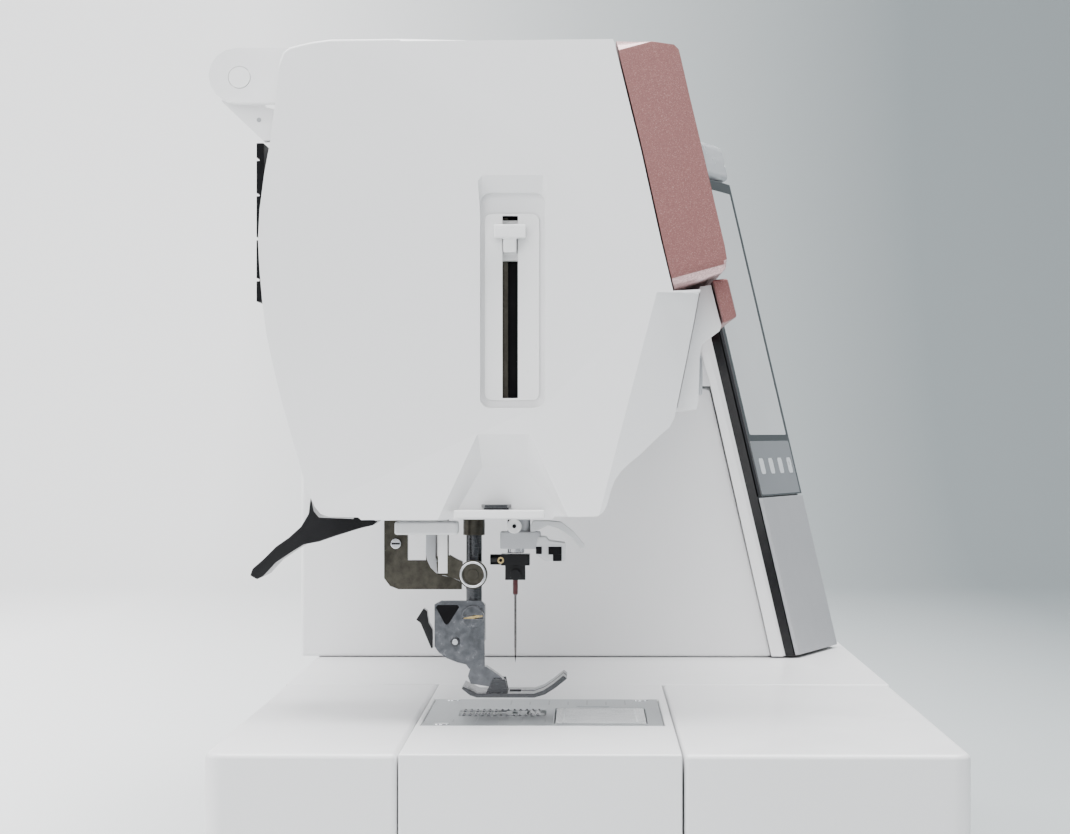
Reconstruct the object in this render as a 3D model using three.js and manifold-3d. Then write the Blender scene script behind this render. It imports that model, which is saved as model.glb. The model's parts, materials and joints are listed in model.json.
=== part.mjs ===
// Computerised long-arm sewing machine: an assembly of separate pieces, in millimetres, +Z up.
// Operator's view: needle end at -X, handwheel at +X, front at -Y. Origin: centre of the bounding box's base.
import * as THREE from 'three';
import { mergeVertices } from 'three/addons/utils/BufferGeometryUtils.js';
import { ConvexGeometry } from 'three/addons/geometries/ConvexGeometry.js';
import Module from 'manifold-3d';

const wasm = await Module();
wasm.setup();

// ---- driving dimensions (X counts from the bed's left end, Y from the bed's middle, Z from the table) ----
const LENGTH = 558;            // bed end to handwheel rim
const BED_Y = 120;             // half of the bed's depth
const BED_Z = 70;              // sewing surface
const ARM_Y0 = -30, ARM_Y1 = 59;   // free arm, front and rear
const TABLE_X1 = 270;          // right end of the extension table
const HEAD_X = 90;             // outer face of the head's end cover
const COVER_X1 = 103.6;        // inner edge of the end cover
const HEAD_X1 = 200;           // right side of the head
const PILLAR_X0 = 422, PILLAR_X1 = 535;
const ARM_Z0 = 190;            // underside of the arm
const TOP_Z = 304.4;
const NEEDLE = [144.4, 25.6];  // needle, in plan
const NEEDLE_TIP = 87.8;
const BAR = [144.4, 40.4];     // presser bar, in plan
const SHAFT = [40, 234];       // upper shaft, Y and Z
const LOWER = [22, 36];        // lower shaft, Y and Z
const HOOK = [134, -5];        // rotary hook's axis, in plan
const LEAN = 0.2334;           // how far the screen panel leans back per mm of height
const HANDLE = [120.5, 293.3]; // carrying handle's pivot, Y and Z
const GAP = 0.4;               // clearance between neighbouring pieces
const SHIFT_Y = -5.7;          // from the bed's middle to the bounding box's middle

// ---- shape helpers ----
const V = (x, y, z) => new THREE.Vector3(x, y, z);
const YZ = new THREE.Matrix4().makeBasis(V(0, 1, 0), V(0, 0, 1), V(1, 0, 0));
const XZ = new THREE.Matrix4().makeBasis(V(1, 0, 0), V(0, 0, 1), V(0, -1, 0));
const solid = (g) => {
  g.deleteAttribute('normal');
  g.deleteAttribute('uv');
  const m = mergeVertices(g, 1e-4);
  return new wasm.Manifold(new wasm.Mesh({
    numProp: 3,
    vertProperties: new Float32Array(m.attributes.position.array),
    triVerts: new Uint32Array(m.index.array),
  }));
};
const prism = (pts, depth) => new THREE.ExtrudeGeometry(
  new THREE.Shape(pts.map(([a, b]) => new THREE.Vector2(a, b))), { depth, bevelEnabled: false, steps: 1 });
const yz = (pts, x0, x1) => solid(prism(pts, x1 - x0).applyMatrix4(YZ).translate(x0, 0, 0));
const xy = (pts, z0, z1) => solid(prism(pts, z1 - z0).translate(0, 0, z0));
const xz = (pts, y0, y1) => solid(prism(pts, y1 - y0).applyMatrix4(XZ).translate(0, y1, 0));
const box = (x0, x1, y0, y1, z0, z1) => solid(new THREE.BoxGeometry(x1 - x0, y1 - y0, z1 - z0)
  .translate((x0 + x1) / 2, (y0 + y1) / 2, (z0 + z1) / 2));
const cyl = (axis, c, r, a0, a1, seg = 24, r1 = r) => {
  const g = new THREE.CylinderGeometry(r1, r, a1 - a0, seg).translate(0, (a0 + a1) / 2, 0);
  if (axis === 'z') g.rotateX(Math.PI / 2).translate(c[0], c[1], 0);
  else if (axis === 'x') g.rotateZ(-Math.PI / 2).translate(0, c[0], c[1]);
  else g.translate(c[0], 0, c[1]);
  return solid(g);
};
const rect = (a0, a1, b0, b1, r = 0, n = 4) => {
  if (!r) return [[a0, b0], [a1, b0], [a1, b1], [a0, b1]];
  const out = [];
  for (const [cx, cy, s] of [[a1 - r, b0 + r, -90], [a1 - r, b1 - r, 0], [a0 + r, b1 - r, 90], [a0 + r, b0 + r, 180]]) {
    for (let k = 0; k <= n; k++) {
      const t = ((s + 90 * k / n) * Math.PI) / 180;
      out.push([cx + r * Math.cos(t), cy + r * Math.sin(t)]);
    }
  }
  return out;
};
const union = (...m) => m.reduce((a, b) => a.add(b));
const cut = (a, ...m) => m.reduce((x, b) => x.subtract(b), a);
const root = new THREE.Group();
root.position.set(-LENGTH / 2, SHIFT_Y, 0);
const mat = (color, roughness = 0.5, metalness = 0) => new THREE.MeshStandardMaterial({ color, roughness, metalness });
const WHITE = mat(0xdcdcda, 0.35), GREY = mat(0xb9bcc0, 0.4), DARK = mat(0x1c1c1e, 0.3), BLACK = mat(0x0b0b0c, 0.25);
const ROSE = mat(0xa07371, 0.4, 0.3), STEEL = mat(0xbcc1c2, 0.3, 0.9), BRONZE = mat(0x48463e, 0.4, 0.8);
const RUBBER = mat(0x202020, 0.9), IRON = mat(0x6a6d70, 0.6, 0.7), CLEAR = mat(0xcdd6d8, 0.15), GLASS = mat(0x10181c, 0.05);
const put = (name, m, material, parent = root) => {
  const k = m.getMesh();
  const g = new THREE.BufferGeometry();
  g.setAttribute('position', new THREE.BufferAttribute(new Float32Array(k.vertProperties), 3));
  g.setIndex(new THREE.BufferAttribute(new Uint32Array(k.triVerts), 1));
  g.computeVertexNormals();
  const mesh = new THREE.Mesh(g, material);
  mesh.name = name;
  parent.add(mesh);
};

// ---- profiles of the head and arm, as [Y, Z] ----
const COVER = [[-8.8, 304.1], [63.6, 304.4], [87.4, 304.2], [93.5, 303.4], [97.7, 302.5], [101.4, 301.5], [103.6, 299.9],
  [104.8, 296.9], [106.2, 283.3], [107.9, 269.7], [109.9, 259], [111.6, 246], [112.1, 235.7], [111.6, 225.5], [110.6, 214.3],
  [109.2, 203.4], [106.4, 190.5], [104.1, 181.2], [101.7, 172.7], [98.7, 162.5], [96.6, 154.6], [94.6, 148.9], [92.8, 145],
  [90.8, 142.5], [88, 141.5], [77.9, 141.3], [76.9, 140.4], [11.9, 140.4], [10.9, 141.4], [-3.3, 141.6], [-5.4, 142.9],
  [-6.7, 145.2], [-8.2, 150.6], [-9.5, 154], [-11.8, 157.2], [-14.6, 159.8], [-18, 162.5], [-24.8, 169], [-28.2, 171.9],
  [-29.8, 174.8], [-31.3, 181.2], [-33.7, 193.2], [-36.7, 208.5], [-38.6, 218.9], [-29.3, 218.4], [-25.0, 236.2],
  [-18.2, 267], [-10.6, 297.9], [-9.3, 303]];
// the shells behind the end cover: a spool trough on top and a step for the carrying handle at the rear
const UPPER_TOP = [[-8.7, 300.5], [4, 300.5], [4, 262], [76, 262], [76, 300.5], [83, 300.5], [84.5, 276], [107.5, 274]];
const UPPER_IN = [[-4.5, 297], [0.8, 297], [0.8, 258.8], [79.2, 258.8], [79.6, 297], [80, 272.6], [104, 270.8]];
const HEAD = [...UPPER_TOP, [108.8, 266], [110.6, 254], [112.6, 240], [112.7, 233], [112.2, 222.7], [111, 211], [109.2, 201],
  [106.6, 190], [103.9, 180], [100.6, 168.6], [98, 158.5], [95.6, 151], [93.4, 145.4], [91.3, 142.6], [88.2, 141.6],
  [78, 141.4], [8, 141.4], [-3.3, 142], [-5.6, 143.4], [-7, 146], [-8.6, 151.4], [-10.3, 155.6], [-14.8, 160.4], [-25, 169.4],
  [-28.6, 172.2], [-30.1, 175.2], [-33.9, 193.2], [-36.9, 208.5], [-38.6, 218], [-29.4, 218.1], [-25.1, 236.2], [-18.3, 267],
  [-10.8, 297.9]];
const HEAD_IN = [...UPPER_IN, [106, 264], [109.4, 240], [109.3, 232], [107.4, 208], [102, 184], [96.6, 166], [92.4, 153.4],
  [88.6, 145], [87, 138], [8, 138], [3, 145.6], [-3.6, 146.6], [-6, 153.6], [-12.4, 162.2], [-24.4, 172.6], [-26.8, 177], [-33.6, 212],
  [-25.4, 214.6], [-21.5, 236.2], [-15, 266], [-7.6, 295]];
const ARM = [...UPPER_TOP, [108.8, 266], [110.6, 254], [112.6, 240], [112.7, 233], [112.2, 222.7], [110.6, 206], [107.6, 196],
  [101, ARM_Z0], [-24, ARM_Z0], [-33, 193.6], [-36.9, 208.5], [-38.6, 218], [-29.4, 218.1], [-25.1, 236.2], [-18.3, 267], [-10.8, 297.9]];
const ARM_IN = [...UPPER_IN, [106, 264], [109.4, 240], [109.3, 232], [107.4, 208], [104.6, 199], [99, 193.2], [-23, 193.2],
  [-30.4, 196], [-33.6, 212], [-25.4, 214.6], [-21.5, 236.2], [-15, 266], [-7.6, 295]];

// ---- head end cover: a deep cap with a bevelled lower front edge, a lever recess and a thread-cutter scoop ----
const facet = solid(new ConvexGeometry([V(88, -23.6, 217.9), V(89.9, -23.6, 217.9), V(103, -42, 217.9), V(88, -42, 217.9),
  V(88, -2.4, 136), V(89.9, -2.4, 136), V(103, -21, 136), V(88, -21, 136)]));
const recess = union(yz(rect(14.3, 36.4, 178.5, 252, 3.4, 5), 80, 95.4),
  solid(new ConvexGeometry([V(80, 14.3, 245), V(80, 36.4, 245), V(95.4, 14.3, 245), V(95.4, 36.4, 245),
    V(80, 13.6, 256), V(80, 37.1, 256), V(90, 13.6, 256), V(90, 37.1, 256), V(80, 15, 257.8), V(80, 35.7, 257.8), V(90, 15, 257.8), V(90, 35.7, 257.8), V(95.4, 16.3, 246), V(95.4, 35, 246)])));
const scoop = solid(new ConvexGeometry([V(80, 19.6, 169.6), V(80, 37.2, 169.6), V(90, 19.6, 169.6), V(90, 37.2, 169.6), V(93, 20.2, 166.4), V(93, 36.8, 166.4),
  V(97.5, 20.9, 158.4), V(97.5, 36, 158.4), V(80, 4.8, 138), V(80, 52, 138), V(90, 4.8, 138), V(90, 52, 138),
  V(97.5, 6.4, 138), V(97.5, 47.4, 138)]));
put('head_end_cover', cut(yz(COVER, HEAD_X, COVER_X1),
  yz([[-6, 300.4], [87, 300.6], [98, 298.6], [101.4, 296], [104.4, 269.5], [108.4, 236], [107.4, 215], [102.6, 190], [93.4, 155],
    [89.5, 147.5], [87, 138], [7, 138], [4, 145.5], [-2.4, 149], [-7, 160], [-18, 172], [-24.6, 195], [-25.4, 212.6], [-21.5, 236], [-14.7, 267], [-7.2, 296]],
  98.6, 110), facet, recess, scoop,
  yz(rect(23.2, 29.3, 181.4, 245, 1, 3), 90, 110)), WHITE);
put('threader_guide_plate', cut(yz(rect(16.3, 35, 181.2, 244.9, 2.4, 5), 94.2, 95.1), box(90, 110, 23.6, 28.9, 181.9, 244.2)), WHITE);
put('head_shell', cut(yz(HEAD, COVER_X1 + GAP, HEAD_X1), yz(HEAD_IN, 100, 205)), WHITE);
put('arm_shell', cut(yz(ARM, HEAD_X1 + GAP, PILLAR_X1), yz(ARM_IN, 190, 531.5), box(428, 528, -26, 100, 180, 200), cyl('x', SHAFT, 7, 525, 540)), WHITE);

// ---- fascia along the arm's upper front ----
put('fascia_upper', cut(yz([[-9.9, 303.9], [-22, 303.4], [-29.6, 302.2], [-31.2, 300.6], [-31.9, 297.9], [-35, 284.3], [-40.1, 262.9],
  [-43.6, 247.6], [-46.8, 234], [-47.6, 229.2], [-47.2, 226], [-46, 224.8], [-29.9, 218.6], [-25.6, 236.2], [-18.8, 267], [-11.2, 297.9]], HEAD_X, 416.4),
yz([[-15, 300], [-28.4, 298], [-36.6, 262.9], [-43.8, 230], [-42.8, 227.4], [-32.6, 223.6], [-28.6, 236.2], [-22, 266], [-14.6, 297]], 93.4, 413),
box(110, 410, -30, -12, 236, 262)), ROSE);
put('fascia_lower_stripe', yz([[-43.2, 222.9], [-47.2, 207.8], [-51.8, 210.1], [-48.6, 223.4]], 107, 416.4), ROSE);
// ---- button panel under it, with its keys ----
const KEYS = [['start_stop_button', 138, 7], ['reverse_button', 160, 4.5], ['needle_up_down_button', 177, 4.5], ['thread_cutter_button', 194, 4.5]];
const PANEL = [[-31.2, 178.4], [-37.9, 178.2], [-38.6, 180.2], [-39.2, 198], [-40, 201], [-46, 205.4], [-46.6, 207.2], [-43, 221.4], [-39.1, 220.8], [-39, 218],
  [-37.3, 208.5], [-34.3, 193.2]];
put('button_panel', cut(yz(PANEL, 112, 262), ...KEYS.map(([, x, r]) => cyl('y', [x, 190.4], r + 0.4, -50, -20)),
  box(212, 246, -50, -37.3, 188.6, 192.2)), WHITE);
for (const [name, x, r] of KEYS) put(name, cyl('y', [x, 190.4], r, -40.8, -36.1), GREY);
put('speed_slider', union(box(225, 233, -42.6, -39.6, 186.8, 194), box(227, 231, -39.7, -37.8, 189, 191.8)), GREY);

// ---- pillar, its side cover, and the screen panel turned towards the needle ----
put('pillar_shell', cut(yz([[127.5, BED_Z + 0.3], [127.5, 170], [121, 184], [112, ARM_Z0 - GAP], [-54.5, ARM_Z0 - GAP], [-82, BED_Z + 0.3]], PILLAR_X0, PILLAR_X1),
  yz([[124.2, 60], [124.2, 169], [118, 182], [108, 187], [40, 200], [-30, 200], [-51, 187], [-79, 60]], PILLAR_X0 + 3.2, PILLAR_X1 - 3.2)), WHITE);
put('pillar_side_cover', cut(yz([[118, 14], [118, 70], [126, 78], [126, 168], [112.5, 196], [112.5, 240], [108, 272], [84, 275], [82, 300], [-8, 300], [-36, 205], [-76, 78],
  [-112, 70], [-112, 14]], PILLAR_X1 + GAP, 539), cyl('x', SHAFT, 8, 530, 545), box(530, 545, 60.6, 91.4, 20.6, 45.4),
box(530, 545, 24.6, 43.4, 22.6, 43.4)), WHITE);
const lean = new THREE.Matrix4().set(1, 0, 0, 0, 0, 1, LEAN, -LEAN * BED_Z, 0, 0, 1, 0, 0, 0, 0, 1);
const leaning = (pts, z0, z1) => solid(prism(pts, z1 - z0).translate(0, 0, z0).applyMatrix4(lean));
const along = (t, d) => [418 + 70 * t - d * 0.306, -94.5 - 22.5 * t + d * 0.952];   // t across the panel, d behind its face
const strip = (t0, t1, d0, d1) => [along(t0, d0), along(t1, d0), along(t1, d1), along(t0, d1)];
put('screen_housing', cut(union(leaning([[418.6, -88.6], along(0, 2.5), along(1, 2.5), [500, -113.4], [520, -106], [534, -94], [534, -84.4], [419.4, -84.4]], 71, 302),
  yz([[-61, 190.6], [-34, 190.6], [-37.8, 208.5], [-39.5, 217], [-39.5, 219], [-30.1, 219], [-25.8, 236.2], [-19, 267], [-13.6, 290], [-42, 290]], 419.4, 534)),
  box(400, 540, -200, 0, 286, 320)), BLACK);
put('screen_glass', leaning(strip(0.0, 1, 0, 2.1), 166.4, 285.6), GLASS);
put('screen_lower_panel', leaning(strip(0.0, 1, 0, 2.1), 71, 166), GREY);
put('screen_top_cap', leaning([along(0.03, 0.4), along(1, 0.4), [500, -115], [532, -99], [532, -66.4], [421, -66.4]], 286.6, 303.4), CLEAR);

// ---- bed: base, free arm, and the extension table that slides off to the left ----
put('base_cover', cut(xy([[TABLE_X1 + 2.3, -BED_Y], ...rect(500, PILLAR_X1, -BED_Y, BED_Y, 7).slice(0, 10), [TABLE_X1 + 2.3, BED_Y]], 8, BED_Z),
  box(276, 531.5, -116.5, 116.5, 0, 66.4), box(260, 290, -26.4, 55.4, 20, 65.6), box(430, 526, -76, 120 - 9, 60, 80),
  box(520, 545, 60.6, 91.4, 20.6, 45.4), box(520, 545, 24.6, 43.4, 22.6, 43.4)), WHITE);
put('base_pan', union(box(276.4, 531, -116, 116, 3.6, 7.6),
  ...[[292, -100], [516, -100], [292, 100], [516, 100]].map((c) => cyl('z', c, 9, 0, 4, 20, 10))), GREY);
put('free_arm_cover', cut(box(0, 271.8, ARM_Y0 + 0.3, ARM_Y1 - 0.1, 16, BED_Z),
  box(3, 280, ARM_Y0 + 3.3, ARM_Y1 - 3.1, 19, 66), box(95.0, 202.3, -26.6, 56.9, 67.5, 75), box(98.5, 199, -23.4, 53.6, 60, 75)), WHITE);
put('needle_plate', cut(box(95.3, 202, -26.3, 56.6, 67.8, BED_Z), box(104.2, 164, -21, 11.4, 60, 80),
  box(139.8, 149, 24.7, 26.5, 60, 80), box(137.4, 141.4, 28.8, 45.4, 60, 80), box(147.4, 151.4, 28.8, 45.4, 60, 80),
  box(132.2, 135.4, 15, 45.4, 60, 80), box(153.4, 156.6, 15, 45.4, 60, 80), box(137.4, 151.4, 14.6, 21.4, 60, 80), box(167, 171.4, -8, 3.6, 60, 80)), STEEL);
put('bobbin_cover', box(104.6, 163.6, -20.6, 11, 68.3, BED_Z), CLEAR);
const teeth = (x0, x1, y0, y1) => yz([[y0, 62], [y1, 62], [y1, 69.6],
  ...Array.from({ length: Math.floor((y1 - y0) / 2.2) }, (_, k) => [[y1 - 1.1 - 2.2 * k, 70.6], [y1 - 2.2 - 2.2 * k, 69.6]]).flat().filter(([y]) => y > y0 + 0.2), [y0, 69.6]], x0, x1);
put('feed_dog', cut(union(box(132.8, 156, 15.6, 44.8, 60, 63), teeth(137.9, 140.9, 29.4, 44.8), teeth(147.9, 150.9, 29.4, 44.8),
  teeth(132.8, 134.9, 15.6, 44.8), teeth(153.9, 156, 15.6, 44.8), teeth(137.9, 150.9, 15.2, 20.8), box(150, 158, 26, 32, 52, 61)), box(139.6, 149.2, 22.6, 28.8, 50, 80)), STEEL);
const leftBox = (y0, y1, r0, r1) => {   // plan outline of a table box with its outer left corner rounded
  const c = rect(0, 60, y0, y1, 6);
  return [...(r0 ? c.slice(15, 20) : [[0, y0]]), [TABLE_X1, y0], [TABLE_X1, y1], ...(r1 ? c.slice(10, 15) : [[0, y1]])];
};
put('extension_table_front', cut(xy(leftBox(-BED_Y, ARM_Y0 - 0.3, true, false), 0, BED_Z), box(3, 267, -117, -33.2, -5, 66.6)), WHITE);
put('extension_table_rear', cut(xy(leftBox(ARM_Y1 + 0.3, BED_Y, false, true), 0, BED_Z), box(3, 267, 62.2, 117, -5, 66.6)), WHITE);
put('extension_table_bridge', box(4, 266, ARM_Y0, ARM_Y1, 1, 11), WHITE);

// ---- mains inlet and power switch on the right side ----
put('mains_inlet', cut(box(522, 540.4, 61, 91, 21, 45), box(526, 545, 64, 88, 24, 42)), BLACK);
put('power_switch', union(box(533.5, 542.6, 26.6, 41.4, 25, 41), cyl('y', [533.5, 33], 3, 26.6, 41.4, 16)), BLACK);

// ---- drive train ----
put('main_casting', cut(union(box(112, 518, 66, 84, 206, 232), box(440, 518, 66, 84, 22, 224),
  box(290, 470, 66, 84, 22, 42), box(112, 120, 56, 84, 150, 232), box(112, 164, 52, 68, 206, 214)), box(455, 510, 50, 90, 60, 190)), IRON);
put('upper_shaft', union(cyl('x', SHAFT, 6, 170, 540.6, 20), cyl('x', SHAFT, 20, 470, 484, 32), cyl('x', SHAFT, 16, 170, 178, 24)), STEEL);
put('lower_shaft', union(cyl('x', LOWER, 5, 176, 510, 20), cyl('x', LOWER, 10, 472, 483, 32)), STEEL);
put('timing_belt', cut(yz([...Array.from({ length: 13 }, (_, k) => [SHAFT[0] + 22.2 * Math.cos(Math.PI * k / 12), SHAFT[1] + 22.2 * Math.sin(Math.PI * k / 12)]),
  ...Array.from({ length: 13 }, (_, k) => [LOWER[0] - 12.4 * Math.cos(Math.PI * k / 12), LOWER[1] - 12.4 * Math.sin(Math.PI * k / 12)])], 473, 481),
  yz([...Array.from({ length: 13 }, (_, k) => [SHAFT[0] + 20.8 * Math.cos(Math.PI * k / 12), SHAFT[1] + 20.8 * Math.sin(Math.PI * k / 12)]),
  ...Array.from({ length: 13 }, (_, k) => [LOWER[0] - 10.9 * Math.cos(Math.PI * k / 12), LOWER[1] - 10.9 * Math.sin(Math.PI * k / 12)])], 460, 490)), RUBBER);
put('motor', union(cyl('x', [-30, 110], 27, 440, 505, 28), cyl('x', [-30, 110], 8, 505, 516, 20), box(446, 500, -34, -26, 70.6, 90)), DARK);
put('handwheel', union(cyl('x', SHAFT, 34, 544, LENGTH, 40), cyl('x', SHAFT, 22, 541, 545, 32)), WHITE);
put('rotary_hook', cut(union(cyl('z', HOOK, 17, 46, 61, 36), cyl('z', HOOK, 4, 41.6, 46.5, 16)), cyl('z', HOOK, 14.6, 48.5, 70, 32)), STEEL);
put('bobbin', cut(cyl('z', HOOK, 10.5, 49.2, 60.4, 28), cyl('z', HOOK, 3, 40, 70, 16), cut(cyl('z', HOOK, 20, 51, 58.8, 28), cyl('z', HOOK, 5, 50, 60, 20))), CLEAR);

// ---- needle bar, clamp, needle and take-up lever ----
put('needle_bar', cyl('z', NEEDLE, 3.2, 127.2, 226, 20), STEEL);
put('needle_clamp', union(box(139.6, 149.4, 20.4, 30.6, 122.8, 126.9), box(141.4, 147.4, 22, 29.2, 117.6, 123), cyl('y', [144.4, 124.8], 1.9, 30.4, 34.6, 16),
  cyl('x', [25.4, 119.6], 1.9, 136.5, 141.5, 18)), DARK);
const cone = new THREE.LatheGeometry([[0, 87.8], [0.34, 91], [0.42, 94], [0.42, 111.9], [0.85, 112.6], [0.85, 117.3], [0, 117.3]].map(([r, z]) => new THREE.Vector2(r, z)), 14)
  .rotateX(Math.PI / 2).translate(NEEDLE[0], NEEDLE[1], 0);
put('needle', solid(cone), STEEL);
put('take_up_lever', union(cyl('x', [14, 226], 5, 150, 156, 20), xz([[150, 226], [156, 226], [156, 251], [150, 251]], 10.4, 17.6), box(150, 156, -10, 17, 245, 251)), STEEL);

// ---- presser bar, foot holder, foot and lever ----
put('presser_bar', cyl('z', BAR, 2.85, 109.2, 222, 20), STEEL);
put('presser_bar_bushing', cut(cyl('z', BAR, 3.9, 133.5, 141, 24), cyl('z', BAR, 3.2, 130, 150, 24)), DARK);
put('foot_holder', cut(union(yz([[36.5, 109.4], [37.5, 110.4], [51.8, 110.4], [54.2, 109.1], [54.2, 94.2], [52.6, 92], [49.6, 89.9], [46, 88.5], [43, 87.8], [41.8, 86.2], [36.3, 86.2]], 137, 141),
  box(140.9, 149, 36.3, 44, 96, 108.8),
  cut(yz([[35.8, 86.8], [41.4, 86.8], [42.4, 83.4], [41.4, 80.8], [33, 79.4], [28.6, 79], [29.2, 81.9], [31.4, 83.8]], 139.6, 147.6), cyl('x', [30.9, 81], 1.5, 130, 160, 16))), yz([[45.8, 108.6], [53.2, 108.6], [49.7, 102.4]], 130, 150)), STEEL);
put('foot_screw', cut(cyl('x', [40.4, 104.9], 3.9, 132.4, 136.7, 28), box(131, 133.6, 36, 45, 104.3, 105.5)), STEEL);
put('snap_lever', yz([[60.8, 103.6], [58.2, 107.6], [56.9, 106.7], [56.3, 102.5], [54.9, 100], [54.9, 93.4], [55.4, 93.4], [59.2, 102.4]], 138, 145), DARK);
put('presser_foot', cut(union(yz([[44.3, 79.7], [43.9, 80.5], [40.6, 78.9], [38.8, 78], [18.8, 78], [15.4, 79.2], [11.8, 81.6], [8.4, 84.4], [7, 83.3], [11.2, 80], [14.8, 77.7], [18.6, 76.6], [39, 76.6], [41.4, 77.4]], 130.4, 158.4),
  ...[[136.4, 139.2], [148, 150.8]].map(([a, b]) => yz([[28, 77.5], [36, 77.5], [33.4, 82.6], [29, 82.6]], a, b)), cyl('x', [30.9, 81], 1.1, 139, 148.2, 16)),
  box(139.6, 149.2, 23.6, 27.6, 70, 79.5), box(142.9, 145.9, 5, 23.7, 70, 90)), STEEL);
const LEVER = [[75.2, 138.2], [81.5, 138.9], [96.6, 139.6], [98.4, 141.8], [99.5, 147], [99.9, 144.5], [100.3, 140.9], [103.1, 136.2], [107.4, 132.3], [112.1, 129], [116.7, 124.4], [120.6, 121],
  [121.4, 118.6], [118.9, 117.2], [116.7, 118.3], [112.1, 123.3], [106.7, 126.9], [102, 129.8], [96.6, 130.8], [90.5, 132.9], [81.5, 135.7], [77.2, 136.7]];
put('presser_lever', union(cut(yz(LEVER, 152, 196), xy([[172, 70], [200, 70], [200, 125], [184, 125]], 100, 160)), box(152, 157, 76.6, 84, 137.4, 148.4), box(147.4, 157, 50, 84, 143.6, 148.6)), BLACK);

// ---- upper-feed drive at the presser bar's rear ----
put('upper_feed_plate', cut(union(cyl('x', [68.6, 130.3], 1.6, 145, 147, 18), yz([[44.8, 114], [67.6, 114], [70.6, 115.2], [72.7, 118], [72.7, 138.6], [53.8, 138.6], [53.8, 126], [51.4, 120.6], [44.8, 118]], 146.2, 149.2)),
  box(140, 155, 57.7, 64.2, 124.4, 133.8)), BRONZE);
put('upper_feed_link', cut(union(box(131.4, 134.4, 48.9, 52.8, 119.7, 150), yz([[50, 119.6], [53, 121], [53.2, 124.4], [48.4, 126.9], [44, 124.4], [43.6, 117.4]], 131.4, 134.4), cyl('x', [40.3, 120], 5.1, 131.4, 134.4, 28)),
  cut(cyl('x', [40.3, 120], 3.5, 130, 132.2, 28), cyl('x', [40.3, 120], 1.9, 129, 133, 24))), BRONZE);

// ---- lamp block, needle threader, thread cutter ----
put('lamp_block', xz([[112, 134.6], [124, 134.6], [126, 136], [126, 139.2], [112, 139.2]], 44.9, 66.9), CLEAR);
put('threader_carrier', union(box(127.6, 136.2, 16.4, 30.6, 129.2, 135.2), cyl('z', [131.6, 22.4], 2.4, 134, 172, 18), box(118, 136, 19.4, 25.4, 168, 176),
  cut(box(127.2, 136.4, 7.5, 18.6, 124.8, 133.6), box(120, 140, 8.9, 13.4, 126.4, 130.2), box(120, 140, 15.8, 17.4, 125.9, 129.6)),
  yz([[21.5, 137.4], [19, 139.2], [13.8, 139.4], [9.2, 138.8], [4.6, 135.4], [0.6, 130.2], [2.2, 129.2], [6.2, 133.9], [10, 136.6], [14, 137.6], [19, 134.6], [21.5, 134.6]], 128, 132)), GREY);
put('threader_lever', union(box(87.2, 93.8, 20.8, 31.6, 236.4, 240.9), box(89.4, 101, 24, 28.5, 231.6, 240), box(98.8, 102, 21, 31.4, 229, 243)), WHITE);
put('thread_cutter', union(xy([[97.2, 25.9], [97.2, 36.2], [91.4, 34.8], [91.4, 27.2]], 144.5, 145.6), box(95, 96.6, 26.6, 35.4, 143.6, 145),
  xy([[91, 14.4], [96.6, 14.8], [96.6, 44.6], [91, 45.4]], 140.9, 143.8)), WHITE);

// ---- rear vent, carrying handle and its bracket ----
const slats = [216, 224.2, 238.6, 254, 266.4, 272.6];
put('rear_vent', cut(box(120, 380, 113.2, 115.8, 216, 271.6), ...slats.slice(1, -1).map((z) => box(110, 390, 114.7, 120, z - 1, z))), BLACK);
const EAR = [...Array.from({ length: 9 }, (_, k) => [121.6 + 9.6 * Math.cos(Math.PI * (k / 8 - 0.5)), 294 + 9.5 * Math.sin(Math.PI * (k / 8 - 0.5))])];
const ear = (x0, x1) => cut(yz([...EAR, [90, 303.5], [86.4, 301], [86.4, 292.4], [88.6, 288], [92, 285.4], [96, 284.5], [112, 284.5]], x0, x1), cyl('x', HANDLE, 3.9, x0 - 5, x1 + 5, 24));
put('carrying_handle', union(ear(108, 116), ear(506, 514), yz(rect(86.4, 104, 290, 303.5, 5, 4), 115.9, 506.1)), WHITE);
const TRI = [[108.6, 272.4], [113.2, 272.2], [127.6, 285.8], [127.6, 287], [108.8, 283.2]];
const PLATE = [[113.9, 275], [125.5, 284], [125.5, 296], [115.5, 296], [112, 282]];
put('handle_bracket_left', union(yz(TRI, 117, 125), yz(PLATE, 121.5, 125), cyl('x', HANDLE, 3.5, 107.8, 122, 24)), WHITE);
put('handle_bracket_right', union(yz(TRI, 497, 505), yz(PLATE, 497, 500.5), cyl('x', HANDLE, 3.5, 500, 514.2, 24)), WHITE);

// ---- top lid over the spool trough ----
put('top_lid', union(box(105, 533, -7.6, 82.6, 301, 304.2), box(105, 533, 79.6, 83.4, 301.2, 304.2)), WHITE);
put('spool_pin', union(cyl('x', [40, 284], 2.6, 206, 262, 16), box(203.9, 207, 34, 46, 262.4, 290)), DARK);

export default root;
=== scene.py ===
import bpy, bmesh, json, math
from mathutils import Vector, Matrix


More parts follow.
